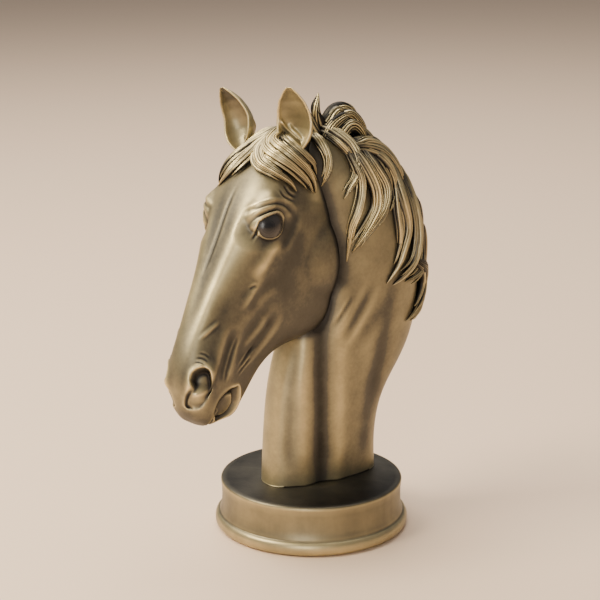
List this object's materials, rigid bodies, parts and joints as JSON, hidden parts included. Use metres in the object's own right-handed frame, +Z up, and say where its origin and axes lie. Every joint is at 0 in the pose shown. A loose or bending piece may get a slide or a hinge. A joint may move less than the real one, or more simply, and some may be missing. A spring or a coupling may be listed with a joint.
{
  "type": "horse head bust statue",
  "caption": "Antique-bronze horse head and arched neck with a loose flowing mane, looking down and a little aside, on a round turned plinth with a bead foot.",
  "frame": {"origin": "centre of the felt pad's underside, on the plinth's turning axis", "axes": "+Z up from the table, -Y towards the neck's front, +X towards the horse's left side"},
  "size_m": [0.129, 0.2071, 0.2982],
  "materials": {
    "bronze": "antique bronze patina, satin, rubbed bright on the high places and dark in the hollows",
    "bronze_locks": "antique bronze with bright rubbed strand ridges and dark grooves",
    "plinth": "antique bronze, darker top, worn bright rim and bead",
    "eye": "dark patinated eye, softly polished",
    "iron": "rough cast, unpainted",
    "steel": "plain zinc-plated steel",
    "felt": "dark self-adhesive felt"
  },
  "bodies": {
    "root": {"bust_casting": "bronze", "ear_left": "bronze", "ear_right": "bronze", "eye_left": "eye", "eye_right": "eye", "forelock_left": "bronze_locks", "forelock_right": "bronze_locks", "mane_poll_tuft": "bronze_locks", "mane_upper_left": "bronze_locks", "mane_middle_left": "bronze_locks", "mane_lower_left": "bronze_locks", "mane_right": "bronze_locks", "mane_crest_upper": "bronze_locks", "mane_crest_lower": "bronze_locks", "plinth_casting": "plinth", "plinth_weight": "iron", "cover_plate": "steel", "cover_screw_1": "steel", "cover_screw_2": "steel", "cover_screw_3": "steel", "felt_pad": "felt", "neck_foot_plate": "steel", "mounting_stud": "steel", "stud_washer": "steel", "stud_nut": "steel", "locating_pin_front": "steel", "locating_pin_rear": "steel"}
  },
  "joints": []
}
